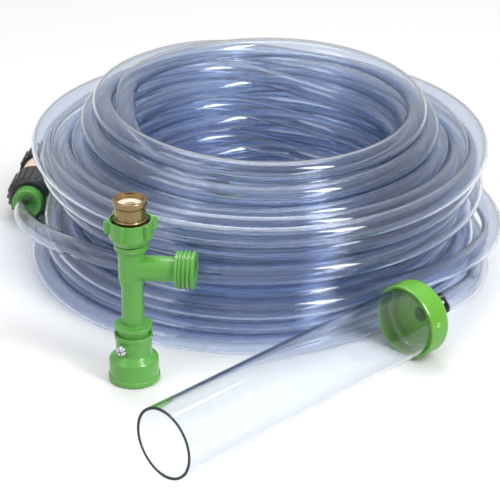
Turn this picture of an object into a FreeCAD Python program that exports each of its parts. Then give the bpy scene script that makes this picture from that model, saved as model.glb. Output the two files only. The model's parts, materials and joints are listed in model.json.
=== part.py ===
import FreeCAD, Part
import math
import os
import Sketcher
from FreeCAD import Placement, Rotation, Vector

# A siphon for cleaning the gravel of an aquarium: a tap pump, a wide clear gravel tube with its
# cap, and a coiled clear hose of two lengths joined by a coupling.
# Frame: the origin is the centre of the pump's open bottom rim, which stands on the floor; +Z is
# up the pump, +X is to the right and +Y is away from the viewer, towards the coil.

document = FreeCAD.newDocument("gravel_siphon")
sheet = document.addObject("Spreadsheet::Sheet", "Dimensions")

DIMENSIONS = {
    # fits
    "running_gap": 0.08,
    # pump tube
    "neck_radius": 11.0,
    "neck_bottom": 21.0,
    "neck_bore": 7.0,
    "ring_groove_radius": 9.35,
    "ring_groove_height": 1.7,
    "lower_ring_height": 23.0,
    "upper_ring_height": 33.55,
    "ring_section": 0.8,
    "track_radius": 9.9,
    "track_bottom": 25.3,
    "track_top": 31.7,
    "flange_radius": 13.4,
    "flange_bottom": 39.6,
    "flange_top": 42.4,
    "lower_tube_radius": 7.8,
    "lower_tube_bore": 5.8,
    "taper_bottom": 71.0,
    "taper_top": 78.0,
    "upper_tube_radius": 9.3,
    "upper_tube_bore": 7.3,
    "collar_bottom": 100.5,
    "collar_top": 104.7,
    "collar_radius": 11.8,
    "swivel_neck_radius": 9.5,
    "swivel_flange_bottom": 108.9,
    "swivel_flange_radius": 12.6,
    "tube_top": 110.4,
    # side arm
    "arm_height": 86.0,
    "arm_turn": -7.0,
    "arm_radius": 9.0,
    "arm_bore": 6.5,
    "arm_end": 44.4,
    "thread_shoulder": 31.0,
    "thread_root": 12.2,
    "thread_crest": 13.4,
    "shoulder_radius": 12.9,
    "thread_pitch": 3.0,
    "thread_crest_width": 1.3,
    "arm_thread_ridges": 4,
    # jet nozzle
    "nozzle_radius": 7.25,
    "nozzle_top": 106.0,
    "nozzle_shoulder": 96.0,
    "nozzle_tip": 79.0,
    "nozzle_tip_radius": 3.4,
    "nozzle_inlet": 5.4,
    "nozzle_jet": 2.0,
    # swivel nut and tap adapter
    "nut_bottom": 106.0,
    "nut_lip_top": 108.6,
    "nut_top": 122.5,
    "nut_radius": 15.2,
    "nut_foot_radius": 12.6,
    "nut_crest": 13.45,
    "nut_root": 14.0,
    "lug_reach": 18.4,
    "lug_width": 3.2,
    "lug_bottom": 113.5,
    "lug_count": 6,
    "screen_thickness": 0.8,
    "screen_hole": 0.85,
    "screen_ring": 4.2,
    "screen_holes": 8,
    "screen_inner_ring": 2.2,
    "screen_inner_holes": 4,
    "washer_radius": 12.4,
    "washer_bore": 7.5,
    "washer_thickness": 2.0,
    "adapter_root": 12.3,
    "adapter_crest": 13.1,
    "adapter_thread_top": 120.4,
    "adapter_foot_radius": 11.6,
    "adapter_foot_top": 124.0,
    "adapter_radius": 10.8,
    "adapter_groove_radius": 10.3,
    "adapter_groove_bottom": 132.4,
    "adapter_lip_bottom": 134.0,
    "adapter_lip_radius": 11.9,
    "adapter_top": 137.7,
    "adapter_bore": 6.5,
    "adapter_recess": 9.9,
    "adapter_recess_floor": 133.7,
    "seat_recess": 9.7,
    "seat_height": 131.4,
    "seat_washer_radius": 9.6,
    "seat_washer_thickness": 2.2,
    "seat_washer_bore": 4.0,
    # drain bell
    "bell_rim_radius": 18.15,
    "bell_rim_top": 4.0,
    "bell_radius": 17.3,
    "bell_bore": 16.1,
    "bell_bore_top": 7.2,
    "bell_inner": 15.8,
    "bell_shoulder": 16.2,
    "bell_neck_bottom": 20.6,
    "bell_neck_radius": 12.5,
    "bell_collar_bottom": 32.0,
    "bell_collar_radius": 13.5,
    "bell_top": 35.5,
    "bell_mouth_radius": 11.9,
    "spoke_bottom": 9.6,
    "spoke_height": 2.6,
    "spoke_width": 2.4,
    "spoke_count": 3,
    "hub_radius": 3.6,
    "boss_radius": 4.5,
    "boss_height": 26.5,
    "boss_face": 13.9,
    "boss_turn": 236.0,
    "screw_shank": 1.0,
    "screw_tip": 10.25,
    "screw_head_radius": 4.0,
    "screw_head_height": 2.0,
    "screw_cross_width": 1.0,
    "screw_cross_depth": 1.1,
    # drain plug
    "stem_radius": 1.6,
    "stem_head_radius": 2.5,
    "stem_head_bottom": 7.8,
    "stem_head_top": 9.2,
    "plug_bottom": 13.2,
    "plug_top": 15.2,
    "plug_radius": 9.6,
    "plug_boss_radius": 3.0,
    "seal_radius": 9.3,
    "seal_top": 16.7,
    # gravel tube and its cap
    "gravel_tube_radius": 25.4,
    "gravel_tube_bore": 23.5,
    "gravel_tube_length": 240.6,
    "tube_mouth_x": 25.2,
    "tube_mouth_y": -131.6,
    "tube_turn": 44.16,
    "tube_rise": 0.5,
    "cap_start": 230.0,
    "cap_radius": 27.4,
    "cap_step": 241.0,
    "cap_step_bore": 22.0,
    "cap_wall": 246.5,
    "cap_back": 250.0,
    "cap_outlet": 5.5,
    "spigot_radius": 9.2,
    "spigot_end": 264.0,
    "socket_depth": 5.0,
    # hose
    "hose_radius": 7.95,
    "socket_radius": 8.0,
    "coil_x": 88.7,
    "coil_y": 202.0,
    "coil_inner": 98.0,
    "coil_outer": 167.0,
    "coil_middle": 64.0,
    "coil_shoulder": 90.0,
    "coil_top": 137.0,
    "coil_top_outer": 124.0,
    "coil_edge": 10.0,
    # hose couplings, measured along their own axis from the front
    "grip_radius": 18.5,
    "grip_lip": 2.5,
    "grip_bore": 15.6,
    "grip_thread": 13.75,
    "grip_count": 20,
    "grip_rib": 0.9,
    "grip_rib_width": 2.6,
    "front_grip_length": 27.0,
    "rear_grip_length": 20.0,
    "sleeve_radius": 12.0,
    "sleeve_length": 10.0,
    "sleeve_flange_radius": 13.2,
    "sleeve_flange_bottom": 2.8,
    "sleeve_flange_top": 5.0,
    "sleeve_bore": 5.5,
    "coupling_washer_top": 7.2,
    "coupling_washer_bore": 7.0,
    "coupling_washer_radius": 13.0,
    "coupling_body_radius": 14.6,
    "coupling_middle_bottom": 27.4,
    "coupling_middle_top": 52.6,
    "coupling_length": 73.0,
    "coupling_thread": 13.3,
    "coupling_bore": 7.0,
    "coupling_front_x": -97.5,
    "coupling_front_y": 255.0,
    "coupling_turn": -5.6,
    "end_grip_length": 24.0,
    "end_x": 64.4,
    "end_y": 252.1,
    "end_turn": 272.0,
}


class Size:
    """A length that keeps both its value and the way a sheet's expression writes it."""

    def __init__(self, value, text):
        self.value = value
        self.text = text

    def combined(self, other, sign, result):
        other_text = other.text if isinstance(other, Size) else str(other)
        return Size(result, "(%s %s %s)" % (self.text, sign, other_text))

    def __add__(self, other):
        return self.combined(other, "+", self.value + value_of(other))

    def __sub__(self, other):
        return self.combined(other, "-", self.value - value_of(other))

    def __mul__(self, other):
        return self.combined(other, "*", self.value * value_of(other))


def value_of(size):
    return size.value if isinstance(size, Size) else size


def text_of(size):
    return size.text if isinstance(size, Size) else str(size)


class Sizes:
    """The sheet's cells by name, each one a Size."""

    def __getattr__(self, name):
        return Size(DIMENSIONS[name], "Dimensions." + name)


size = Sizes()

for row, (alias, number) in enumerate(DIMENSIONS.items(), start=1):
    sheet.set("A%d" % row, alias)
    sheet.set("B%d" % row, str(number))
    sheet.setAlias("B%d" % row, alias)
document.recompute()


# ---------------------------------------------------------------- sketches and features

def new_body(name):
    body = document.addObject("PartDesign::Body", name)
    body.Label = name
    return body


def new_sketch(body, name, plane, offset=None):
    """A sketch on one of the body's own planes, moved by an offset and a turn about its normal."""
    sketch = body.newObject("Sketcher::SketchObject", name)
    origin_plane = [item for item in body.Origin.OriginFeatures if item.Role == plane][0]
    sketch.AttachmentSupport = [(origin_plane, "")]
    sketch.MapMode = "FlatFace"
    if offset:
        along, turn = offset
        shift = Vector(0, 0, value_of(along))
        sketch.AttachmentOffset = Placement(shift, Rotation(Vector(0, 0, 1), value_of(turn)))
        sketch.setExpression("AttachmentOffset.Base.z", text_of(along))
        sketch.setExpression("AttachmentOffset.Rotation.Angle", text_of(turn))
    return sketch


def bind(sketch, kind, element, size_value, axis):
    """Constrain one coordinate of a line's first point to a size, or to the axis if it is zero."""
    length = value_of(size_value)
    if length == 0:
        sketch.addConstraint(Sketcher.Constraint("PointOnObject", element, 1, axis))
        return
    ends = (-1, 1, element, 1) if length > 0 else (element, 1, -1, 1)
    index = sketch.addConstraint(Sketcher.Constraint(kind, *ends, abs(length)))
    text = text_of(size_value) if length > 0 else "-(%s)" % text_of(size_value)
    sketch.setExpression("Constraints[%d]" % index, text)


def draw_outline(sketch, outline):
    """A closed outline of straight lines whose corners are all bound to sizes."""
    count = len(outline)
    corners = [Vector(value_of(across), value_of(along), 0) for across, along in outline]
    for index in range(count):
        line = Part.LineSegment(corners[index], corners[(index + 1) % count])
        sketch.addGeometry(line, False)
    for index in range(count):
        after = (index + 1) % count
        sketch.addConstraint(Sketcher.Constraint("Coincident", index, 2, after, 1))
    for index, (across, along) in enumerate(outline):
        bind(sketch, "DistanceX", index, across, -2)
        bind(sketch, "DistanceY", index, along, -1)


def turned(body, name, outline, cut=False, plane="XZ_Plane", axis="V_Axis", offset=None):
    """Turn an outline about a sketch axis, to add to the body or to cut from it."""
    sketch = new_sketch(body, name + "_outline", plane, offset)
    draw_outline(sketch, outline)
    kind = "PartDesign::Groove" if cut else "PartDesign::Revolution"
    feature = body.newObject(kind, name)
    feature.Profile = sketch
    feature.ReferenceAxis = (sketch, [axis])
    feature.Angle = 360
    document.recompute()
    return feature


def padded(body, name, outline, length, plane="XY_Plane", offset=None, cut=False):
    """Push an outline along its plane's normal, to add to the body or to cut from it."""
    sketch = new_sketch(body, name + "_outline", plane, offset)
    draw_outline(sketch, outline)
    return pushed(body, name, sketch, length, cut)


def pushed(body, name, sketch, length, cut):
    before = body.Shape.Volume
    feature = body.newObject("PartDesign::Pocket" if cut else "PartDesign::Pad", name)
    feature.Profile = sketch
    feature.Length = value_of(length)
    feature.setExpression("Length", text_of(length))
    feature.Reversed = cut
    document.recompute()
    changed = body.Shape.Volume - before
    if (changed >= 0) == cut:
        raise RuntimeError(name + " changed nothing")
    return feature


def round_pad(body, name, radius, length, plane, offset, cut=False, centre=(0, 0)):
    """Push a circle along its plane's normal."""
    sketch = new_sketch(body, name + "_outline", plane, offset)
    middle = Vector(value_of(centre[0]), value_of(centre[1]), 0)
    sketch.addGeometry(Part.Circle(middle, Vector(0, 0, 1), value_of(radius)), False)
    index = sketch.addConstraint(Sketcher.Constraint("Radius", 0, value_of(radius)))
    sketch.setExpression("Constraints[%d]" % index, text_of(radius))
    if middle.Length == 0:
        sketch.addConstraint(Sketcher.Constraint("Coincident", 0, 3, -1, 1))
    else:
        index = sketch.addConstraint(Sketcher.Constraint("DistanceX", -1, 1, 0, 3, middle.x))
        sketch.setExpression("Constraints[%d]" % index, text_of(centre[0]))
        sketch.addConstraint(Sketcher.Constraint("PointOnObject", 0, 3, -1))
    return pushed(body, name, sketch, length, cut)


def repeated(body, feature, count):
    """Repeat a feature evenly about the body's Z axis."""
    pattern = body.newObject("PartDesign::PolarPattern", feature.Name + "_pattern")
    pattern.Originals = [feature]
    pattern.Axis = (feature.Profile[0], ["N_Axis"])
    pattern.Angle = 360
    pattern.Occurrences = value_of(count)
    pattern.setExpression("Occurrences", text_of(count))
    body.Tip = pattern
    document.recompute()
    return pattern


def circle_edges(shape, rims):
    """The names of the circular edges about the Z axis at the given radii and heights."""
    names = []
    for radius, height in rims:
        found = []
        for number, edge in enumerate(shape.Edges, start=1):
            curve = edge.Curve
            if curve.TypeId != "Part::GeomCircle":
                continue
            near = abs(curve.Radius - value_of(radius)) < 0.01
            level = abs(curve.Center.z - value_of(height)) < 0.01
            central = math.hypot(curve.Center.x, curve.Center.y) < 0.01
            if near and level and central:
                found.append("Edge%d" % number)
        if not found:
            raise RuntimeError("no rim of radius %s at %s" % (value_of(radius), value_of(height)))
        names += found
    return names


def rounded(body, name, rims, radius):
    """Round the circular edges at the given radii and heights."""
    base = body.Tip
    fillet = body.newObject("PartDesign::Fillet", name)
    fillet.Base = (base, circle_edges(base.Shape, rims))
    fillet.Radius = radius
    document.recompute()
    return fillet


def ring_outline(inner, outer, bottom, top):
    return [(inner, bottom), (outer, bottom), (outer, top), (inner, top)]


def ridges(first, pitch, width, root, crest, count, step=1):
    """The corners of a thread drawn as rings, walking along its root from the first ridge."""
    corners = []
    for index in range(count):
        start = first + pitch * (index * step)
        bevel = (pitch - width) * 0.25 * step
        end = start + width * step
        corners += [(root, start - bevel), (crest, start), (crest, end), (root, end + bevel)]
    return corners


def swapped(corners):
    return [(along, across) for across, along in corners]


def along_axis(front_x, front_y, turn):
    """The place of a part that lies on the floor, its Z axis level, turned from the -Y direction."""
    level = Rotation(Vector(1, 0, 0), 90)
    swing = Rotation(Vector(0, 0, 1), value_of(turn))
    place = Vector(value_of(front_x), value_of(front_y), 0)
    return Placement(place, swing * level)


# ---------------------------------------------------------------- the tap pump

def make_pump_body():
    body = new_body("pump_body")
    swivel = size.swivel_flange_bottom
    turned(body, "pump_tube", [
        (0, size.neck_bottom),
        (size.neck_radius, size.neck_bottom),
        (size.neck_radius, size.flange_bottom),
        (size.flange_radius, size.flange_bottom),
        (size.flange_radius, size.flange_top),
        (size.lower_tube_radius, size.flange_top),
        (size.lower_tube_radius, size.taper_bottom),
        (size.upper_tube_radius, size.taper_top),
        (size.upper_tube_radius, size.collar_bottom),
        (size.collar_radius, size.collar_bottom),
        (size.collar_radius, size.collar_top),
        (size.swivel_neck_radius, size.collar_top),
        (size.swivel_neck_radius, swivel),
        (size.swivel_flange_radius, swivel),
        (size.swivel_flange_radius, size.tube_top),
        (0, size.tube_top),
    ])
    arm_place = (size.arm_height, size.arm_turn)
    thread = ridges(size.thread_shoulder + 2.6, size.thread_pitch, size.thread_crest_width,
                    size.thread_root, size.thread_crest, DIMENSIONS["arm_thread_ridges"])
    turned(body, "side_arm", [
        (0, 0),
        (0, size.arm_radius),
        (size.thread_shoulder, size.arm_radius),
        (size.thread_shoulder, size.shoulder_radius),
        (size.thread_shoulder + 2.0, size.shoulder_radius),
        (size.thread_shoulder + 2.0, size.thread_root),
        *swapped(thread),
        (size.arm_end, size.thread_root),
        (size.arm_end, 0),
    ], plane="XY_Plane", axis="H_Axis", offset=arm_place)
    turned(body, "main_bore", [
        (0, size.neck_bottom - 1),
        (size.neck_bore, size.neck_bottom - 1),
        (size.neck_bore, size.flange_bottom),
        (size.lower_tube_bore, size.flange_top),
        (size.lower_tube_bore, size.taper_bottom),
        (size.upper_tube_bore, size.taper_top),
        (size.upper_tube_bore, size.tube_top + 1),
        (0, size.tube_top + 1),
    ], cut=True)
    turned(body, "arm_bore", [
        (0, 0),
        (0, size.arm_bore),
        (size.arm_end + 1, size.arm_bore),
        (size.arm_end + 1, 0),
    ], cut=True, plane="XY_Plane", axis="H_Axis", offset=arm_place)
    outer = size.neck_radius + 1
    for name, middle in (("lower", size.lower_ring_height), ("upper", size.upper_ring_height)):
        half = size.ring_groove_height * 0.5
        outline = ring_outline(size.ring_groove_radius, outer, middle - half, middle + half)
        turned(body, name + "_ring_groove", outline, cut=True)
    track = ring_outline(size.track_radius, outer, size.track_bottom, size.track_top)
    turned(body, "screw_track", track, cut=True)
    rounded(body, "flange_rounds", [
        (size.flange_radius, size.flange_bottom), (size.flange_radius, size.flange_top),
        (size.collar_radius, size.collar_bottom), (size.collar_radius, size.collar_top),
    ], 0.8)
    rounded(body, "flange_foot", [(size.lower_tube_radius, size.flange_top)], 0.8)
    return body


def make_neck_ring(name, height):
    """An O-ring as a full torus about the pump's axis."""
    ring = document.addObject("Part::Torus", name)
    ring.Label = name
    centre = size.neck_radius - 0.02 - size.ring_section
    ring.setExpression("Radius1", centre.text)
    ring.setExpression("Radius2", size.ring_section.text)
    ring.Placement = Placement(Vector(0, 0, height.value), Rotation())
    ring.setExpression("Placement.Base.z", height.text)
    return ring


def make_jet_nozzle():
    body = new_body("jet_nozzle")
    turned(body, "nozzle_cone", [
        (size.nozzle_jet, size.nozzle_tip),
        (size.nozzle_tip_radius, size.nozzle_tip),
        (size.nozzle_radius - 1.2, size.nozzle_shoulder - 3),
        (size.nozzle_radius, size.nozzle_shoulder),
        (size.nozzle_radius, size.nozzle_top),
        (size.nozzle_inlet, size.nozzle_top),
        (size.nozzle_inlet, size.nozzle_shoulder),
        (size.nozzle_jet, size.nozzle_tip + 4),
    ])
    return body


def make_inlet_nut():
    body = new_body("inlet_nut")
    running = size.swivel_neck_radius + size.running_gap
    lip = size.nut_lip_top
    thread = ridges(lip + 4.2, size.thread_pitch, size.thread_crest_width,
                    size.nut_root, size.nut_crest, 3)
    turned(body, "nut_shell", [
        (running, size.nut_bottom),
        (size.nut_foot_radius, size.nut_bottom),
        (size.nut_radius, size.nut_bottom + 4.2),
        (size.nut_radius, size.nut_top),
        (size.nut_root, size.nut_top),
        *reversed(thread),
        (size.nut_root, lip),
        (running, lip),
    ])
    lug = padded(body, "grip_lug", [
        (size.nut_radius - 0.6, size.lug_width * -0.5),
        (size.lug_reach, size.lug_width * -0.3),
        (size.lug_reach, size.lug_width * 0.3),
        (size.nut_radius - 0.6, size.lug_width * 0.5),
    ], size.nut_top - size.lug_bottom, offset=(size.lug_bottom, 253))
    repeated(body, lug, size.lug_count)
    rounded(body, "nut_foot_round", [(size.nut_radius, size.nut_bottom + 4.2)], 1.6)
    return body


def make_inlet_screen():
    body = new_body("inlet_screen")
    bottom = size.tube_top
    outline = ring_outline(0, size.washer_radius, bottom, bottom + size.screen_thickness)
    turned(body, "screen_disc", outline)
    rings = (("outer", size.screen_ring, size.screen_holes),
             ("inner", size.screen_inner_ring, size.screen_inner_holes))
    for name, ring, count in rings:
        hole = round_pad(body, name + "_hole", size.screen_hole, size.screen_thickness + 1,
                         "XY_Plane", (bottom - 0.5, 0), cut=True, centre=(ring, 0))
        repeated(body, hole, count)
    return body


def make_inlet_washer():
    body = new_body("inlet_washer")
    bottom = size.tube_top + size.screen_thickness
    top = bottom + size.washer_thickness
    turned(body, "washer_ring", ring_outline(size.washer_bore, size.washer_radius, bottom, top))
    return body


def make_faucet_adapter():
    body = new_body("faucet_adapter")
    bottom = size.tube_top + size.screen_thickness + size.washer_thickness
    thread = ridges(bottom + 1.4, size.thread_pitch, size.thread_crest_width,
                    size.adapter_root, size.adapter_crest, 2)
    turned(body, "adapter_shell", [
        (size.adapter_bore, bottom),
        (size.adapter_root, bottom),
        *thread,
        (size.adapter_root, size.adapter_thread_top),
        (size.adapter_foot_radius, size.adapter_thread_top + 0.8),
        (size.adapter_foot_radius, size.adapter_foot_top - 0.8),
        (size.adapter_radius, size.adapter_foot_top),
        (size.adapter_radius, size.adapter_groove_bottom),
        (size.adapter_groove_radius, size.adapter_groove_bottom + 0.4),
        (size.adapter_groove_radius, size.adapter_lip_bottom - 0.4),
        (size.adapter_lip_radius, size.adapter_lip_bottom),
        (size.adapter_lip_radius, size.adapter_top),
        (size.adapter_recess, size.adapter_top),
        (size.adapter_recess, size.adapter_recess_floor),
        (size.seat_recess, size.adapter_recess_floor),
        (size.seat_recess, size.seat_height),
        (size.adapter_bore, size.seat_height),
    ])
    rounded(body, "lip_rounds", [
        (size.adapter_lip_radius, size.adapter_lip_bottom),
        (size.adapter_lip_radius, size.adapter_top),
    ], 0.6)
    return body


def make_adapter_washer():
    body = new_body("adapter_washer")
    bottom = size.seat_height
    top = bottom + size.seat_washer_thickness
    outline = ring_outline(size.seat_washer_bore, size.seat_washer_radius, bottom, top)
    turned(body, "washer_ring", outline)
    return body


def make_drain_bell():
    """The bell slides on the pump's neck; its spokes carry the drain plug."""
    body = new_body("drain_bell")
    running = size.neck_radius + size.running_gap
    turned(body, "bell_shell", [
        (size.bell_bore, 0),
        (size.bell_rim_radius, 0),
        (size.bell_rim_radius, size.bell_rim_top - 0.6),
        (size.bell_radius, size.bell_rim_top),
        (size.bell_radius, size.bell_shoulder),
        (size.bell_neck_radius, size.bell_neck_bottom),
        (size.bell_neck_radius, size.bell_collar_bottom),
        (size.bell_collar_radius, size.bell_collar_bottom + 0.8),
        (size.bell_collar_radius, size.bell_top),
        (size.bell_mouth_radius, size.bell_top),
        (running, size.bell_top - 0.8),
        (running, size.bell_neck_bottom),
        (size.bell_inner, size.bell_shoulder),
        (size.bell_inner, size.bell_bore_top),
        (size.bell_bore, size.bell_bore_top),
    ])
    rounded(body, "bell_rounds", [
        (size.bell_radius, size.bell_shoulder),
        (size.bell_neck_radius, size.bell_neck_bottom),
    ], 2.6)
    rounded(body, "bell_edges", [
        (size.bell_collar_radius, size.bell_top),
        (size.bell_rim_radius, size.bell_rim_top - 0.6),
        (size.bell_rim_radius, 0),
    ], 0.5)
    turned(body, "hub", ring_outline(0, size.hub_radius, size.spoke_bottom,
                                     size.spoke_bottom + size.spoke_height))
    spoke = padded(body, "spoke", [
        (1, size.spoke_width * -0.5),
        (size.bell_bore + 0.5, size.spoke_width * -0.5),
        (size.bell_bore + 0.5, size.spoke_width * 0.5),
        (1, size.spoke_width * 0.5),
    ], size.spoke_height, offset=(size.spoke_bottom, 30))
    repeated(body, spoke, size.spoke_count)
    turned(body, "hub_bore", ring_outline(0, size.stem_radius + size.running_gap,
                                          size.spoke_bottom - 1,
                                          size.spoke_bottom + size.spoke_height + 1), cut=True)
    boss_place = (size.boss_height, size.boss_turn)
    turned(body, "screw_boss", [
        (running + 0.3, 0),
        (running + 0.3, size.boss_radius),
        (size.boss_face, size.boss_radius),
        (size.boss_face, 0),
    ], plane="XY_Plane", axis="H_Axis", offset=boss_place)
    turned(body, "screw_hole", [
        (running - 1, 0),
        (running - 1, size.screw_shank),
        (size.boss_face + 1, size.screw_shank),
        (size.boss_face + 1, 0),
    ], cut=True, plane="XY_Plane", axis="H_Axis", offset=boss_place)
    return body


def make_bell_screw():
    """A round-headed cross-slot screw whose tip runs in the neck's track."""
    body = new_body("bell_screw")
    turned(body, "screw_shape", [
        (0, size.screw_tip),
        (size.screw_shank, size.screw_tip),
        (size.screw_shank, size.boss_face),
        (size.screw_head_radius, size.boss_face),
        (size.screw_head_radius, size.boss_face + 0.7),
        (size.screw_head_radius * 0.7, size.boss_face + size.screw_head_height),
        (0, size.boss_face + size.screw_head_height),
    ])
    rounded(body, "head_round", [
        (size.screw_head_radius, size.boss_face + 0.7),
        (size.screw_head_radius * 0.7, size.boss_face + size.screw_head_height),
    ], 0.5)
    half_width = size.screw_cross_width * 0.5
    half_length = size.screw_head_radius * 0.6
    floor = size.boss_face + size.screw_head_height - size.screw_cross_depth
    for name, turn in (("slot", 0), ("cross_slot", 90)):
        padded(body, name, [
            (half_length * -1, half_width * -1), (half_length, half_width * -1),
            (half_length, half_width), (half_length * -1, half_width),
        ], size.screw_cross_depth + 1, offset=(floor, turn + 20), cut=True)
    lie = Rotation(Vector(0, 1, 0), 90)
    swing = Rotation(Vector(0, 0, 1), size.boss_turn.value)
    body.Placement = Placement(Vector(0, 0, size.boss_height.value), swing * lie)
    body.setExpression("Placement.Base.z", size.boss_height.text)
    return body


def make_drain_plug():
    body = new_body("drain_plug")
    turned(body, "plug_shape", [
        (0, size.stem_head_bottom),
        (size.stem_head_radius - 0.7, size.stem_head_bottom),
        (size.stem_head_radius, size.stem_head_top),
        (size.stem_radius, size.stem_head_top),
        (size.stem_radius, size.plug_bottom - 0.6),
        (size.plug_boss_radius, size.plug_bottom - 0.6),
        (size.plug_radius, size.plug_bottom + 0.8),
        (size.plug_radius, size.plug_top),
        (size.plug_boss_radius, size.plug_top),
        (size.plug_boss_radius, size.seal_top),
        (0, size.seal_top),
    ])
    return body


def make_plug_seal():
    body = new_body("plug_seal")
    turned(body, "seal_ring", [
        (size.plug_boss_radius, size.plug_top),
        (size.seal_radius, size.plug_top),
        (size.seal_radius - 0.5, size.seal_top),
        (size.plug_boss_radius, size.seal_top),
    ])
    return body


# ---------------------------------------------------------------- gravel tube and cap

def tube_place():
    """The gravel tube lies on its mouth's rim and on the cap's rim, so it rises a little."""
    start = Vector(DIMENSIONS["tube_mouth_x"], DIMENSIONS["tube_mouth_y"],
                   DIMENSIONS["gravel_tube_radius"])
    lie = Rotation(Vector(0, 1, 0), 90 - DIMENSIONS["tube_rise"])
    return Placement(start, Rotation(Vector(0, 0, 1), DIMENSIONS["tube_turn"]) * lie)


def make_gravel_tube():
    body = new_body("gravel_tube")
    turned(body, "tube_wall", ring_outline(size.gravel_tube_bore, size.gravel_tube_radius,
                                           0, size.gravel_tube_length))
    body.Placement = tube_place()
    return body


def make_tube_cap():
    body = new_body("tube_cap")
    inner = size.gravel_tube_radius + size.running_gap
    turned(body, "cap_shell", [
        (inner, size.cap_start),
        (size.cap_radius - 0.4, size.cap_start),
        (size.cap_radius, size.cap_start + 1),
        (size.cap_radius, size.cap_back),
        (size.spigot_radius, size.cap_back),
        (size.spigot_radius, size.spigot_end),
        (size.socket_radius, size.spigot_end),
        (size.socket_radius, size.spigot_end - size.socket_depth),
        (size.cap_outlet, size.spigot_end - size.socket_depth),
        (size.cap_outlet, size.cap_wall),
        (size.cap_step_bore, size.cap_wall),
        (size.cap_step_bore, size.cap_step),
        (inner, size.cap_step),
    ])
    rounded(body, "cap_back_round", [(size.cap_radius, size.cap_back)], 6.0)
    rounded(body, "spigot_rounds", [(size.spigot_radius, size.cap_back)], 1.2)
    rounded(body, "spigot_edge", [(size.spigot_radius, size.spigot_end)], 0.6)
    body.Placement = tube_place()
    return body


# ---------------------------------------------------------------- hose couplings

def grip_nut(name, length, place):
    """A ribbed swivel nut with rings of thread inside, its lip at the hose side, z = 0."""
    body = new_body(name)
    running = size.sleeve_radius + size.running_gap
    thread = ridges(size.grip_lip + 8.0, size.thread_pitch, size.thread_crest_width,
                    size.grip_bore, size.grip_thread, 3)
    turned(body, "nut_shell", [
        (running, 0),
        (size.grip_radius - 3.2, 0),
        (size.grip_radius - size.grip_rib, 3.0),
        (size.grip_radius - size.grip_rib, length),
        (size.grip_bore, length),
        *reversed(thread),
        (size.grip_bore, size.grip_lip),
        (running, size.grip_lip),
    ])
    rounded(body, "nut_rounds", [(size.grip_radius - size.grip_rib, 3.0), (size.grip_radius - 3.2, 0)], 1.2)
    rib = padded(body, "grip_rib", [
        (size.grip_radius - size.grip_rib * 2, size.grip_rib_width * -0.5),
        (size.grip_radius, size.grip_rib_width * -0.35),
        (size.grip_radius, size.grip_rib_width * 0.35),
        (size.grip_radius - size.grip_rib * 2, size.grip_rib_width * 0.5),
    ], length - 5.5, offset=(3.0, 0))
    repeated(body, rib, size.grip_count)
    body.Placement = place
    return body


def hose_sleeve(name, place):
    """The sleeve that holds a hose's end: a socket, a through bore and a flange for the nut."""
    body = new_body(name)
    turned(body, "sleeve_shape", [
        (size.sleeve_bore, size.sleeve_length * -1 + size.socket_depth),
        (size.socket_radius, size.sleeve_length * -1 + size.socket_depth),
        (size.socket_radius, size.sleeve_length * -1),
        (size.sleeve_radius, size.sleeve_length * -1),
        (size.sleeve_radius, size.sleeve_flange_bottom),
        (size.sleeve_flange_radius, size.sleeve_flange_bottom),
        (size.sleeve_flange_radius, size.sleeve_flange_top),
        (size.sleeve_bore, size.sleeve_flange_top),
    ])
    rounded(body, "sleeve_edge", [(size.sleeve_radius, size.sleeve_length * -1)], 1.0)
    body.Placement = place
    return body


def washer(name, place):
    body = new_body(name)
    turned(body, "washer_ring", ring_outline(size.coupling_washer_bore, size.coupling_washer_radius,
                                             size.sleeve_flange_top, size.coupling_washer_top))
    body.Placement = place
    return body


def make_coupling_body(place):
    body = new_body("coupling_body")
    front = size.coupling_washer_top
    rear = size.coupling_length - size.coupling_washer_top
    bare = size.coupling_thread - 1.0
    front_thread = ridges(front + 2.0, size.thread_pitch, size.thread_crest_width,
                          bare, size.coupling_thread, 4)
    rear_thread = ridges(rear - 2.0, size.thread_pitch, size.thread_crest_width,
                         bare, size.coupling_thread, 3, step=-1)
    turned(body, "body_shape", [
        (size.coupling_bore, front),
        (bare, front),
        *front_thread,
        (bare, size.coupling_middle_bottom),
        (size.coupling_body_radius, size.coupling_middle_bottom),
        (size.coupling_body_radius, size.coupling_middle_top),
        (bare, size.coupling_middle_top),
        *reversed(rear_thread),
        (bare, rear),
        (size.coupling_bore, rear),
    ])
    rounded(body, "middle_rounds", [
        (size.coupling_body_radius, size.coupling_middle_bottom),
        (size.coupling_body_radius, size.coupling_middle_top),
    ], 0.7)
    body.Placement = place
    return body


def make_coupling():
    """The in-line coupling lies behind the left side of the coil, its front towards -Y."""
    front = along_axis(size.coupling_front_x, size.coupling_front_y, size.coupling_turn)
    front.Base.z = size.grip_radius.value
    # z of the front parts runs from the front face backwards
    backwards = Rotation(Vector(1, 0, 0), 180)
    front_place = Placement(front.Base, front.Rotation * backwards)
    rear_base = front_place.multVec(Vector(0, 0, size.coupling_length.value))
    rear_place = Placement(rear_base, front.Rotation)
    grip_nut("coupling_front_nut", size.front_grip_length, front_place)
    hose_sleeve("coupling_front_sleeve", front_place)
    washer("coupling_front_washer", front_place)
    make_coupling_body(front_place)
    grip_nut("coupling_rear_nut", size.rear_grip_length, rear_place)
    hose_sleeve("coupling_rear_sleeve", rear_place)
    washer("coupling_rear_washer", rear_place)


def make_hose_end():
    """The hose's free end: a swivel nut on a sleeve, on the floor inside the coil."""
    place = along_axis(size.end_x, size.end_y, size.end_turn)
    place.Base.z = size.grip_radius.value
    grip_nut("end_nut", size.end_grip_length, place)
    hose_sleeve("end_sleeve", place)
    washer("end_washer", place)


# ---------------------------------------------------------------- the hose

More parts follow.
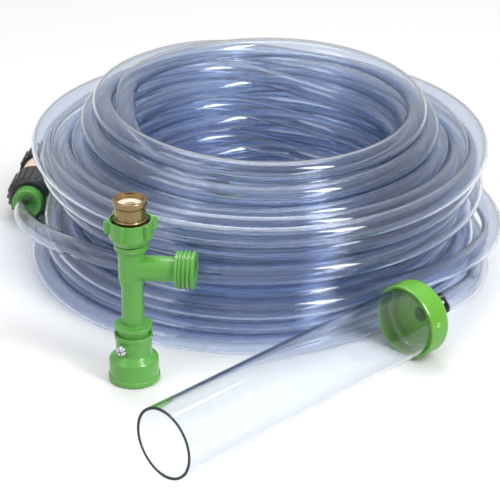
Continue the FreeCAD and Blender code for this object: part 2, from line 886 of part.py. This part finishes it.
# Each route runs in the hose's own direction; its first and last points are the hose's ends there.
CAP_LEAD = [(211, 48.8, 27.7), (227, 64.4, 27.8), (240, 84, 25), (249, 110, 19.5),
            (254.5, 140, 13), (257.5, 172, 9), (258.8, 205, 8), (254.8, 238.5, 8)]
COUPLING_LEAD_IN = [(128, 357, 50), (98, 371, 46), (68, 384, 41), (36, 397, 36), (4, 407, 31),
                    (-26, 410, 27), (-54, 405, 23), (-76, 388, 20), (-87, 362.5, 18.5),
                    (-89.9, 332.6, 18.5)]
COUPLING_LEAD_OUT = [(-98, 250, 18.5), (-100, 229.6, 20), (-95, 203, 24.5), (-85.5, 176, 30),
                     (-72.5, 149, 36), (-57.5, 124.5, 41.5), (-39, 101, 47), (-16, 77, 52),
                     (12, 55, 57.5), (50, 36, 62)]
END_LEAD = [(-13, 172, 124), (-4, 146, 116), (13, 127, 104), (38, 116, 89), (64, 114, 74),
            (90, 120, 59), (113, 128, 46), (132, 141, 35), (146, 159, 25), (154, 182, 17),
            (152, 206, 12), (142, 229, 11), (123, 245, 15), (99.2, 253.1, 18.5),
            (69.4, 252.3, 18.5)]
ARC_SHARE = 0.45


def hose_path(points):
    """Straight runs joined by tangent arcs, each as large as its two runs allow."""
    corners = [Vector(*point) for point in points]
    edges = []
    radii = []
    start = corners[0]
    for before, corner, after in zip(corners, corners[1:], corners[2:]):
        entry = (before - corner).normalize()
        leave = (after - corner).normalize()
        turn = math.pi - entry.getAngle(leave)
        shorter = min(before.distanceToPoint(corner), after.distanceToPoint(corner))
        reach = ARC_SHARE * shorter
        radius = reach / math.tan(turn / 2)
        radii.append(radius)
        arc_start = corner + entry * reach
        arc_end = corner + leave * reach
        bisector = (entry + leave).normalize()
        centre = corner + bisector * (radius / math.cos(turn / 2))
        arc_middle = centre - bisector * radius
        edges.append(Part.LineSegment(start, arc_start).toShape())
        edges.append(Part.Arc(arc_start, arc_middle, arc_end).toShape())
        start = arc_end
    edges.append(Part.LineSegment(start, corners[-1]).toShape())
    return Part.Wire(edges), radii


def hose_lead(name, points):
    """A plain round length of hose swept along its path."""
    radius = sheet.hose_radius
    path, radii = hose_path(points)
    first = path.Edges[0]
    circle = Part.makeCircle(radius, Vector(*points[0]), first.tangentAt(first.FirstParameter))
    swept = path.makePipeShell([Part.Wire([circle])], True, False)
    expected = math.pi * radius ** 2 * path.Length
    print("%s: length %.0f, radii %s, volume ratio %.4f" % (
        name, path.Length, [round(value) for value in radii], swept.Volume / expected))
    lead = document.addObject("Part::Feature", name)
    lead.Label = name
    lead.Shape = swept
    lead.Placement = Placement()
    return lead


def coil_solid(name, outline):
    body = new_body(name)
    turned(body, "coil_shape", outline)
    body.Placement = Placement(Vector(size.coil_x.value, size.coil_y.value, 0), Rotation())
    body.setExpression("Placement.Base.x", size.coil_x.text)
    body.setExpression("Placement.Base.y", size.coil_y.text)
    return body


def make_hose():
    coil_solid("hose_coil_lower", [
        (size.coil_inner, 0),
        (size.coil_outer, 0),
        (size.coil_outer, size.coil_middle),
        (size.coil_inner, size.coil_middle),
    ])
    coil_solid("hose_coil_upper", [
        (size.coil_inner, size.coil_middle),
        (size.coil_outer, size.coil_middle),
        (size.coil_outer, size.coil_shoulder),
        (size.coil_top_outer, size.coil_top),
        (size.coil_inner + size.coil_edge, size.coil_top),
        (size.coil_inner, size.coil_top - size.coil_edge),
    ])
    hose_lead("hose_lead_cap", CAP_LEAD)
    hose_lead("hose_lead_coupling_in", COUPLING_LEAD_IN)
    hose_lead("hose_lead_coupling_out", COUPLING_LEAD_OUT)
    hose_lead("hose_lead_end", END_LEAD)


make_pump_body()
make_neck_ring("neck_ring_lower", size.lower_ring_height)
make_neck_ring("neck_ring_upper", size.upper_ring_height)
make_jet_nozzle()
make_inlet_nut()
make_inlet_screen()
make_inlet_washer()
make_faucet_adapter()
make_adapter_washer()
make_drain_bell()
make_bell_screw()
make_drain_plug()
make_plug_seal()
make_gravel_tube()
make_tube_cap()
make_coupling()
make_hose_end()
make_hose()
document.recompute()

failed = [item.Name for item in document.Objects if set(item.State) & {"Invalid", "Error"}]
if failed:
    raise RuntimeError("features failed: %s" % failed)
SUB_PART_TYPES = ("PartDesign::Body", "Part::Torus", "Part::Feature")
sub_parts = [item for item in document.Objects if item.TypeId in SUB_PART_TYPES]
for item in sub_parts:
    if item.Shape.isNull() or not item.Shape.isValid():
        raise RuntimeError("%s has no valid shape" % item.Label)

os.makedirs("parts", exist_ok=True)
for item in sub_parts:
    item.Shape.exportStep(os.path.join("parts", item.Label + ".step"))
print("%d sub-parts written" % len(sub_parts))
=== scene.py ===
import bpy
import bmesh
import json
import math
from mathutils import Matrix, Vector


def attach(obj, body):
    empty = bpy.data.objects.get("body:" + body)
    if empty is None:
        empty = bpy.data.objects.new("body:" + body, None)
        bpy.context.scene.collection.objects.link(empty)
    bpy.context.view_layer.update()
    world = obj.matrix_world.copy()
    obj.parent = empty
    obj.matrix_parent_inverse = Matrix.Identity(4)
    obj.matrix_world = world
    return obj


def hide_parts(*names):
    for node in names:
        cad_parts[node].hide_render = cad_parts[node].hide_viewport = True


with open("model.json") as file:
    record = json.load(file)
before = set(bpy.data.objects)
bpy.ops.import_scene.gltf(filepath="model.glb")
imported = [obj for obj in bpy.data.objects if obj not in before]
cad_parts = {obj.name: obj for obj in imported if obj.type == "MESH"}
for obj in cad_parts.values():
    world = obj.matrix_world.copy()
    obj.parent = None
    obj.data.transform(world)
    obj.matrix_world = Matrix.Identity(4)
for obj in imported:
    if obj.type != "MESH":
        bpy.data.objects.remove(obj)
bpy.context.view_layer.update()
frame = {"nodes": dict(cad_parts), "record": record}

# ---------------------------------------------------------------- sizes, in metres

HOSE_DIAMETER = 0.0159
HOSE_WALL = 0.0016
HOSE_SIDES = 14
HOSE_RING_GAP = 0.0075
TUBE_MOUTH = (0.0252, -0.1316, 0.0254)
TUBE_DIRECTION = (0.71735, 0.69665, 0.00873)
EDGE_DEPTH = 0.0008
MARK_PLACE = (0.2135, 0.0139, 0.0332)
MARK_RADIUS, MARK_WIDTH = 0.0013, 0.0006
METAL_GRAIN = 700
FLOOR_HALF = 6
FLOOR_DROP = 0.0005
CAMERA_PLACE = (0.08106, -1.28985, 0.73764)
CAMERA_DOWN = 26.34
CAMERA_LENS, CAMERA_SENSOR = 151.9, 36
COIL_X, COIL_Y = 0.0887, 0.2020
POINTS_PER_TURN = 24
INNER_TURN = 0.1065
SLOT = 0.0159
LAYER_HEIGHT = 0.0140
FIRST_HEIGHT = 0.0080
JOG_START, JOG_END = 60, 120
# each layer's turns, counted in slots out from the innermost turn
LOWER_LAYERS = [[4, 3, 2, 1, 0], [0.5, 1.5, 2.5, 3.5], [4, 3, 2, 1, 0], [0.5, 1.5, 2.5]]
UPPER_LAYERS = [[4, 3, 2, 1, 0], [0.5, 1.5, 2.5, 3.5], [3.9, 3, 2, 1, 0], [0.5, 1.5], [0.9, 0.05]]
# where each coil starts and ends, in degrees from +X
LOWER_START, LOWER_FINISH = 30, 60
UPPER_START, UPPER_FINISH = 270, -180
# the lower coil's third layer hangs loose on its outermost turn, at the right
LOOSE_TURN, LOOSE_ANGLE, LOOSE_WIDTH, LOOSE_REACH = 9, -12, 50, 0.025

CAP_LEAD = [(0.2110, 0.0488, 0.0277), (0.2270, 0.0644, 0.0278), (0.2400, 0.0840, 0.0250),
            (0.2490, 0.1100, 0.0195), (0.2545, 0.1400, 0.0130), (0.2575, 0.1720, 0.0090),
            (0.2588, 0.2050, 0.0080), (0.2548, 0.2385, 0.0080)]
COUPLING_LEAD_IN = [(0.098, 0.371, 0.046), (0.068, 0.384, 0.041), (0.036, 0.397, 0.036),
                    (0.004, 0.407, 0.031), (-0.026, 0.410, 0.027), (-0.054, 0.405, 0.023),
                    (-0.076, 0.388, 0.020), (-0.0870, 0.3625, 0.0185), (-0.0899, 0.3326, 0.0185)]
COUPLING_LEAD_OUT = [(-0.0980, 0.2500, 0.0185), (-0.1000, 0.2296, 0.0200),
                     (-0.0950, 0.2030, 0.0245),
                     (-0.0855, 0.1760, 0.0300), (-0.0725, 0.1490, 0.0360),
                     (-0.0575, 0.1245, 0.0415), (-0.0390, 0.1010, 0.0470), (-0.016, 0.077, 0.052),
                     (0.012, 0.055, 0.0575), (0.050, 0.036, 0.062)]
END_LEAD = [(-0.013, 0.172, 0.124), (-0.004, 0.146, 0.116), (0.013, 0.127, 0.104),
            (0.038, 0.116, 0.089), (0.064, 0.114, 0.074), (0.090, 0.120, 0.059),
            (0.113, 0.128, 0.046), (0.132, 0.141, 0.035), (0.146, 0.159, 0.025),
            (0.154, 0.182, 0.017), (0.152, 0.206, 0.012), (0.142, 0.229, 0.011),
            (0.123, 0.245, 0.015), (0.0992, 0.2531, 0.0185), (0.0694, 0.2523, 0.0185)]


# ---------------------------------------------------------------- the coil

def smooth(share):
    share = min(1.0, max(0.0, share))
    return share * share * (3 - 2 * share)


def bump(angle, centre, width):
    """1 at the centre, falling smoothly to 0 at that many degrees away."""
    away = abs((angle - centre + 180) % 360 - 180)
    return smooth(1 - away / width)


def uneven(angle, radius, height):
    """Where the loosely wound coil bulges, sags and is squeezed."""
    outer = (radius - INNER_TURN) / (4 * SLOT)
    high = smooth((height - 0.07) / 0.05)
    middle = smooth(1 - abs(height - 0.045) / 0.03)
    low = smooth(1 - height / 0.04)
    beside_cap = bump(angle, -52, 40) * smooth(1 - (height - 0.03) / 0.05)
    radius -= 0.010 * beside_cap * outer
    radius -= (0.016 * bump(angle, 0, 50) + 0.012 * bump(angle, 185, 50)) * outer * middle
    radius += 0.004 * bump(angle, 215, 80) * outer * low
    height += (0.009 * bump(angle, 165, 120) + 0.003 * bump(angle, 60, 100)) * high
    sag = math.sin(math.radians(2 * angle + 9000 * radius))
    height += 0.0012 * sag * min(1, height / 0.03)
    return radius, height


def coil_turns(layers, first_layer):
    turns = []
    for number, places in enumerate(layers):
        height = FIRST_HEIGHT + LAYER_HEIGHT * (first_layer + number)
        turns += [(INNER_TURN + SLOT * place, height) for place in places]
    return turns


def coil_points(layers, first_layer, start, finish):
    """Points of a coil from an angle of its first turn to an angle of its last; each turn steps
    to the next one's place between the jog's two angles."""
    turns = coil_turns(layers, first_layer)
    points = []
    step = 360 // POINTS_PER_TURN
    for angle in range(start, finish + 360 * len(turns), step):
        number = (angle - JOG_START) // 360
        share = smooth(((angle - JOG_START) % 360) / (JOG_END - JOG_START))
        here = turns[min(max(number, 0), len(turns) - 1)]
        before = turns[min(max(number - 1, 0), len(turns) - 1)]
        radius = before[0] + (here[0] - before[0]) * share
        height = before[1] + (here[1] - before[1]) * share
        radius, height = uneven(angle, radius, height)
        if first_layer == 0 and number == LOOSE_TURN:
            radius += LOOSE_REACH * bump(angle, LOOSE_ANGLE, LOOSE_WIDTH)
        turn = math.radians(angle)
        points.append((COIL_X + radius * math.cos(turn), COIL_Y + radius * math.sin(turn), height))
    return points


# ---------------------------------------------------------------- mesh helpers

def spline_line(name, points):
    """The points that a smooth NURBS spline through the route gives."""
    curve = bpy.data.curves.new(name, "CURVE")
    curve.dimensions = "3D"
    curve.resolution_u = 3
    spline = curve.splines.new("NURBS")
    spline.points.add(len(points) - 1)
    for place, point in zip(spline.points, points):
        place.co = (*point, 1)
    spline.order_u = 3
    spline.use_endpoint_u = True
    holder = bpy.data.objects.new(name, curve)
    mesh = bpy.data.meshes.new_from_object(holder)
    line = [vertex.co.copy() for vertex in mesh.vertices]
    bpy.data.objects.remove(holder)
    bpy.data.curves.remove(curve)
    bpy.data.meshes.remove(mesh)
    return line


def spaced(line, gap):
    """The line's points thinned out to at least the gap, keeping both ends."""
    kept = [line[0]]
    for point in line[1:-1]:
        if (point - kept[-1]).length >= gap and (point - line[-1]).length >= gap * 0.5:
            kept.append(point)
    kept.append(line[-1])
    return kept


def hollow_tube(name, line, outer, inner, sides):
    """A pipe that follows a line, its outer and inner walls closed by flat ends."""
    mesh_data = bmesh.new()
    up = Vector((0, 0, 1))
    walls = ([], [])
    for index, point in enumerate(line):
        ahead = line[min(index + 1, len(line) - 1)]
        behind = line[max(index - 1, 0)]
        along = (ahead - behind).normalized()
        side = along.cross(up).normalized()
        rise = side.cross(along)
        for wall, radius in zip(walls, (outer, inner)):
            ring = []
            for number in range(sides):
                turn = 2 * math.pi * number / sides
                spot = point + side * (radius * math.cos(turn)) + rise * (radius * math.sin(turn))
                ring.append(mesh_data.verts.new(spot))
            wall.append(ring)
    for wall, flip in zip(walls, (False, True)):
        for ring, following in zip(wall, wall[1:]):
            for number in range(sides):
                after = (number + 1) % sides
                corners = [ring[number], ring[after], following[after], following[number]]
                mesh_data.faces.new(corners[::-1] if flip else corners)
    for end, flip in ((0, True), (-1, False)):
        for number in range(sides):
            after = (number + 1) % sides
            corners = [walls[0][end][number], walls[0][end][after],
                       walls[1][end][after], walls[1][end][number]]
            mesh_data.faces.new(corners[::-1] if flip else corners)
    bmesh.ops.recalc_face_normals(mesh_data, faces=mesh_data.faces)
    mesh = bpy.data.meshes.new(name)
    mesh_data.to_mesh(mesh)
    mesh_data.free()
    for face in mesh.polygons:
        face.use_smooth = True
    piece = bpy.data.objects.new(name, mesh)
    bpy.context.scene.collection.objects.link(piece)
    return piece


# ---------------------------------------------------------------- materials

def new_material(name):
    material = bpy.data.materials.new(name)
    material.use_nodes = True
    nodes = material.node_tree.nodes
    return material, nodes, material.node_tree.links, nodes["Principled BSDF"]


def noise(nodes, scale, detail=3.0, roughness=0.5):
    place = nodes.new("ShaderNodeTexCoord")
    texture = nodes.new("ShaderNodeTexNoise")
    texture.inputs["Scale"].default_value = scale
    texture.inputs["Detail"].default_value = detail
    texture.inputs["Roughness"].default_value = roughness
    nodes.id_data.links.new(place.outputs["Object"], texture.inputs["Vector"])
    return texture.outputs["Fac"]


def ramp(nodes, source, low, high):
    """Map a texture's value onto a colour between low and high."""
    blend = nodes.new("ShaderNodeMix")
    blend.data_type = "RGBA"
    blend.inputs[6].default_value = (*low, 1)
    blend.inputs[7].default_value = (*high, 1)
    nodes.id_data.links.new(source, blend.inputs[0])
    return blend.outputs[2]


def span(nodes, source, low, high):
    """Map a texture's value onto a number between low and high."""
    change = nodes.new("ShaderNodeMapRange")
    change.inputs["To Min"].default_value = low
    change.inputs["To Max"].default_value = high
    nodes.id_data.links.new(source, change.inputs["Value"])
    return change.outputs["Result"]


def bumpy(nodes, shader, source, strength, distance):
    node = nodes.new("ShaderNodeBump")
    node.inputs["Strength"].default_value = strength
    node.inputs["Distance"].default_value = distance
    nodes.id_data.links.new(source, node.inputs["Height"])
    nodes.id_data.links.new(node.outputs["Normal"], shader.inputs["Normal"])


def moulded_plastic(name, dark, light, roughness=0.22):
    """Injection-moulded plastic: a faint cloud in its colour and a slightly wavy gloss."""
    material, nodes, links, shader = new_material(name)
    links.new(ramp(nodes, noise(nodes, 35), dark, light), shader.inputs["Base Color"])
    links.new(span(nodes, noise(nodes, 260), roughness - 0.04, roughness + 0.06),
              shader.inputs["Roughness"])
    shader.inputs["IOR"].default_value = 1.5
    bumpy(nodes, shader, noise(nodes, 180, 4), 0.06, 0.0004)
    return material


def clear_plastic(name, tint, shade, roughness, ior, waviness):
    """Clear plastic with a faint tint in its walls, a shade for its shadow and wavy surfaces."""
    material, nodes, links, shader = new_material(name)
    pale = tuple(min(1.0, part + 0.02) for part in tint)
    links.new(ramp(nodes, noise(nodes, 9), tint, pale), shader.inputs["Base Color"])
    shader.inputs["Transmission Weight"].default_value = 1.0
    shader.inputs["IOR"].default_value = ior
    shader.inputs["Roughness"].default_value = roughness
    bumpy(nodes, shader, noise(nodes, 60, 2), waviness, 0.001)
    # light from the lamps passes through, so that the floor under clear parts stays light
    clear = nodes.new("ShaderNodeBsdfTransparent")
    clear.inputs["Color"].default_value = (*shade, 1)
    path = nodes.new("ShaderNodeLightPath")
    choice = nodes.new("ShaderNodeMixShader")
    links.new(path.outputs["Is Shadow Ray"], choice.inputs[0])
    links.new(shader.outputs[0], choice.inputs[1])
    links.new(clear.outputs[0], choice.inputs[2])
    links.new(choice.outputs[0], nodes["Material Output"].inputs["Surface"])
    return material


def math_node(nodes, operation, first, second):
    node = nodes.new("ShaderNodeMath")
    node.operation = operation
    node.inputs[1].default_value = second
    nodes.id_data.links.new(first, node.inputs[0])
    return node.outputs[0]


def paint_over(material, mask, colour):
    """Give the material another colour where the mask is 1."""
    nodes, links = material.node_tree.nodes, material.node_tree.links
    base = nodes["Principled BSDF"].inputs["Base Color"]
    blend = nodes.new("ShaderNodeMix")
    blend.data_type = "RGBA"
    links.new(base.links[0].from_socket, blend.inputs[6])
    blend.inputs[7].default_value = (*colour, 1)
    links.new(mask, blend.inputs[0])
    links.new(blend.outputs[2], base)


def measured(nodes, operation, vector):
    """Compare the surface's place with a vector, by a dot product or by distance."""
    place = nodes.new("ShaderNodeTexCoord")
    node = nodes.new("ShaderNodeVectorMath")
    node.operation = operation
    node.inputs[1].default_value = vector
    nodes.id_data.links.new(place.outputs["Object"], node.inputs[0])
    return node.outputs["Value"]


def paint_cut_edge_shade(material, mouth, direction):
    """Painted shade: a clear tube's cut end looks dark, because light leaves it along the wall, so
    a near-black colour is painted on a thin band at its mouth.
    """
    nodes = material.node_tree.nodes
    along = measured(nodes, "DOT_PRODUCT", direction)
    edge = math_node(nodes, "LESS_THAN", along, mouth.dot(direction) + EDGE_DEPTH)
    # painted shade: near-black colour on the thin band at the tube's cut mouth
    paint_over(material, edge, (0.015, 0.02, 0.025))


def moulding_mark(material, centre):
    """A small pale ring such as a mould's pin leaves."""
    nodes = material.node_tree.nodes
    away = measured(nodes, "DISTANCE", centre)
    off_ring = math_node(nodes, "ABSOLUTE", math_node(nodes, "SUBTRACT", away, MARK_RADIUS), 0)
    paint_over(material, math_node(nodes, "LESS_THAN", off_ring, MARK_WIDTH / 2),
               (0.35, 0.62, 0.22))


def metal(name, dark, light, roughness):
    material, nodes, links, shader = new_material(name)
    links.new(ramp(nodes, noise(nodes, 60), dark, light), shader.inputs["Base Color"])
    shader.inputs["Metallic"].default_value = 1.0
    links.new(span(nodes, noise(nodes, METAL_GRAIN), roughness - 0.05, roughness + 0.08),
              shader.inputs["Roughness"])
    bumpy(nodes, shader, noise(nodes, METAL_GRAIN), 0.05, 0.0002)
    return material


def rubber(name, dark, light, roughness=0.6):
    material, nodes, links, shader = new_material(name)
    links.new(ramp(nodes, noise(nodes, 90), dark, light), shader.inputs["Base Color"])
    shader.inputs["Roughness"].default_value = roughness
    bumpy(nodes, shader, noise(nodes, 900), 0.15, 0.0003)
    return material


MATERIALS = {
    "pump_green": moulded_plastic("pump_green", (0.069, 0.255, 0.036), (0.088, 0.285, 0.046)),
    "cap_green": moulded_plastic("cap_green", (0.077, 0.27, 0.016), (0.097, 0.30, 0.023)),
    "dark_plastic": moulded_plastic("dark_plastic", (0.02, 0.10, 0.02), (0.03, 0.13, 0.03), 0.35),
    "black_grip": moulded_plastic("black_grip", (0.008, 0.008, 0.010), (0.015, 0.015, 0.017), 0.3),
    "cream_body": moulded_plastic("cream_body", (0.56, 0.41, 0.28), (0.66, 0.50, 0.37), 0.3),
    "seal_rubber": rubber("seal_rubber", (0.01, 0.01, 0.01), (0.02, 0.02, 0.02)),
    "pale_washer": rubber("pale_washer", (0.60, 0.50, 0.38), (0.70, 0.61, 0.48), 0.5),
    "brass": metal("brass", (0.23, 0.165, 0.077), (0.29, 0.215, 0.11), 0.20),
    "chrome": metal("chrome", (0.50, 0.50, 0.52), (0.62, 0.62, 0.64), 0.10),
    "steel_screen": metal("steel_screen", (0.30, 0.30, 0.30), (0.4, 0.4, 0.4), 0.35),
    "clear_acrylic": clear_plastic("clear_acrylic", (0.84, 0.86, 0.885), (0.93, 0.94, 0.95),
                                   0.02, 1.40, 0.02),
    "clear_hose": clear_plastic("clear_hose", (0.785, 0.825, 0.895), (0.90, 0.91, 0.93),
                                0.03, 1.42, 0.04),
}
# painted shade: a dark band on the gravel tube's cut mouth
paint_cut_edge_shade(MATERIALS["clear_acrylic"], Vector(TUBE_MOUTH), Vector(TUBE_DIRECTION))
moulding_mark(MATERIALS["cap_green"], MARK_PLACE)

for part in frame["record"]["subparts"]:
    node = frame["nodes"][part["node"]]
    node.data.materials.clear()
    node.data.materials.append(MATERIALS[part["material_slot"]])


# ---------------------------------------------------------------- the two hoses

def make_hose(name, route):
    line = spaced(spline_line(name, route), HOSE_RING_GAP)
    outer = HOSE_DIAMETER / 2
    piece = hollow_tube(name, line, outer, outer - HOSE_WALL, HOSE_SIDES)
    piece.data.materials.append(MATERIALS["clear_hose"])
    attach(piece, "hose_set")
    return piece, line


lower_coil = coil_points(LOWER_LAYERS, 0, LOWER_START, LOWER_FINISH)
upper_coil = coil_points(UPPER_LAYERS, len(LOWER_LAYERS), UPPER_START, UPPER_FINISH)
tube_hose, tube_line = make_hose("hose_to_gravel_tube", CAP_LEAD + lower_coil + COUPLING_LEAD_IN)
tap_hose, tap_line = make_hose("hose_to_tap", COUPLING_LEAD_OUT + upper_coil + END_LEAD)

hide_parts("hose_lead_cap", "hose_coil_lower", "hose_lead_coupling_in")
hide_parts("hose_lead_coupling_out", "hose_coil_upper", "hose_lead_end")


# ---------------------------------------------------------------- floor, light and camera

def make_floor():
    floor_mesh = bpy.data.meshes.new("floor")
    corners = [(-FLOOR_HALF, -FLOOR_HALF, 0), (FLOOR_HALF, -FLOOR_HALF, 0),
               (FLOOR_HALF, FLOOR_HALF, 0), (-FLOOR_HALF, FLOOR_HALF, 0)]
    floor_mesh.from_pydata(corners, [], [(0, 1, 2, 3)])
    floor = bpy.data.objects.new("floor", floor_mesh)
    floor.location.z = -FLOOR_DROP
    bpy.context.scene.collection.objects.link(floor)
    material, _, _, shader = new_material("floor_white")
    shader.inputs["Base Color"].default_value = (0.58, 0.58, 0.58, 1)
    shader.inputs["Roughness"].default_value = 0.6
    floor_mesh.materials.append(material)


def make_light(name, location, target, size, power):
    light = bpy.data.lights.new(name, "AREA")
    light.shape = "RECTANGLE"
    light.size, light.size_y = size
    light.energy = power
    lamp = bpy.data.objects.new(name, light)
    lamp.location = location
    lamp.rotation_euler = (Vector(target) - Vector(location)).to_track_quat("-Z", "Y").to_euler()
    bpy.context.scene.collection.objects.link(lamp)


def make_world():
    world = bpy.data.worlds.new("studio")
    world.use_nodes = True
    background = world.node_tree.nodes["Background"]
    background.inputs["Color"].default_value = (1, 1, 1, 1)
    place = world.node_tree.nodes.new("ShaderNodeTexCoord")
    parts = world.node_tree.nodes.new("ShaderNodeSeparateXYZ")
    world.node_tree.links.new(place.outputs["Generated"], parts.inputs[0])
    rise = world.node_tree.nodes.new("ShaderNodeMapRange")
    rise.inputs["From Max"].default_value = 0.8
    rise.inputs["To Min"].default_value = 0.40
    rise.inputs["To Max"].default_value = 1.15
    world.node_tree.links.new(parts.outputs["Z"], rise.inputs["Value"])
    world.node_tree.links.new(rise.outputs["Result"], background.inputs["Strength"])
    bpy.context.scene.world = world


def make_camera():
    data = bpy.data.cameras.new("camera")
    data.sensor_width = CAMERA_SENSOR
    data.lens = CAMERA_LENS
    camera = bpy.data.objects.new("camera", data)
    camera.location = CAMERA_PLACE
    camera.rotation_euler = (math.radians(90 - CAMERA_DOWN), 0, 0)
    bpy.context.scene.collection.objects.link(camera)
    bpy.context.scene.camera = camera


make_floor()
make_world()
make_light("key", (0.95, -0.7, 1.1), (0.08, 0.15, 0.05), (0.35, 0.9), 20)
make_light("fill", (-1.0, -0.6, 0.9), (0.08, 0.15, 0.05), (0.8, 0.8), 6)
make_light("top", (0.1, 0.6, 1.5), (0.08, 0.2, 0.05), (1.0, 0.6), 10)
make_camera()
bpy.context.scene.view_settings.view_transform = "Standard"
bpy.context.scene.cycles.max_bounces = 32
bpy.context.scene.cycles.transmission_bounces = 32
bpy.context.scene.cycles.transparent_max_bounces = 32
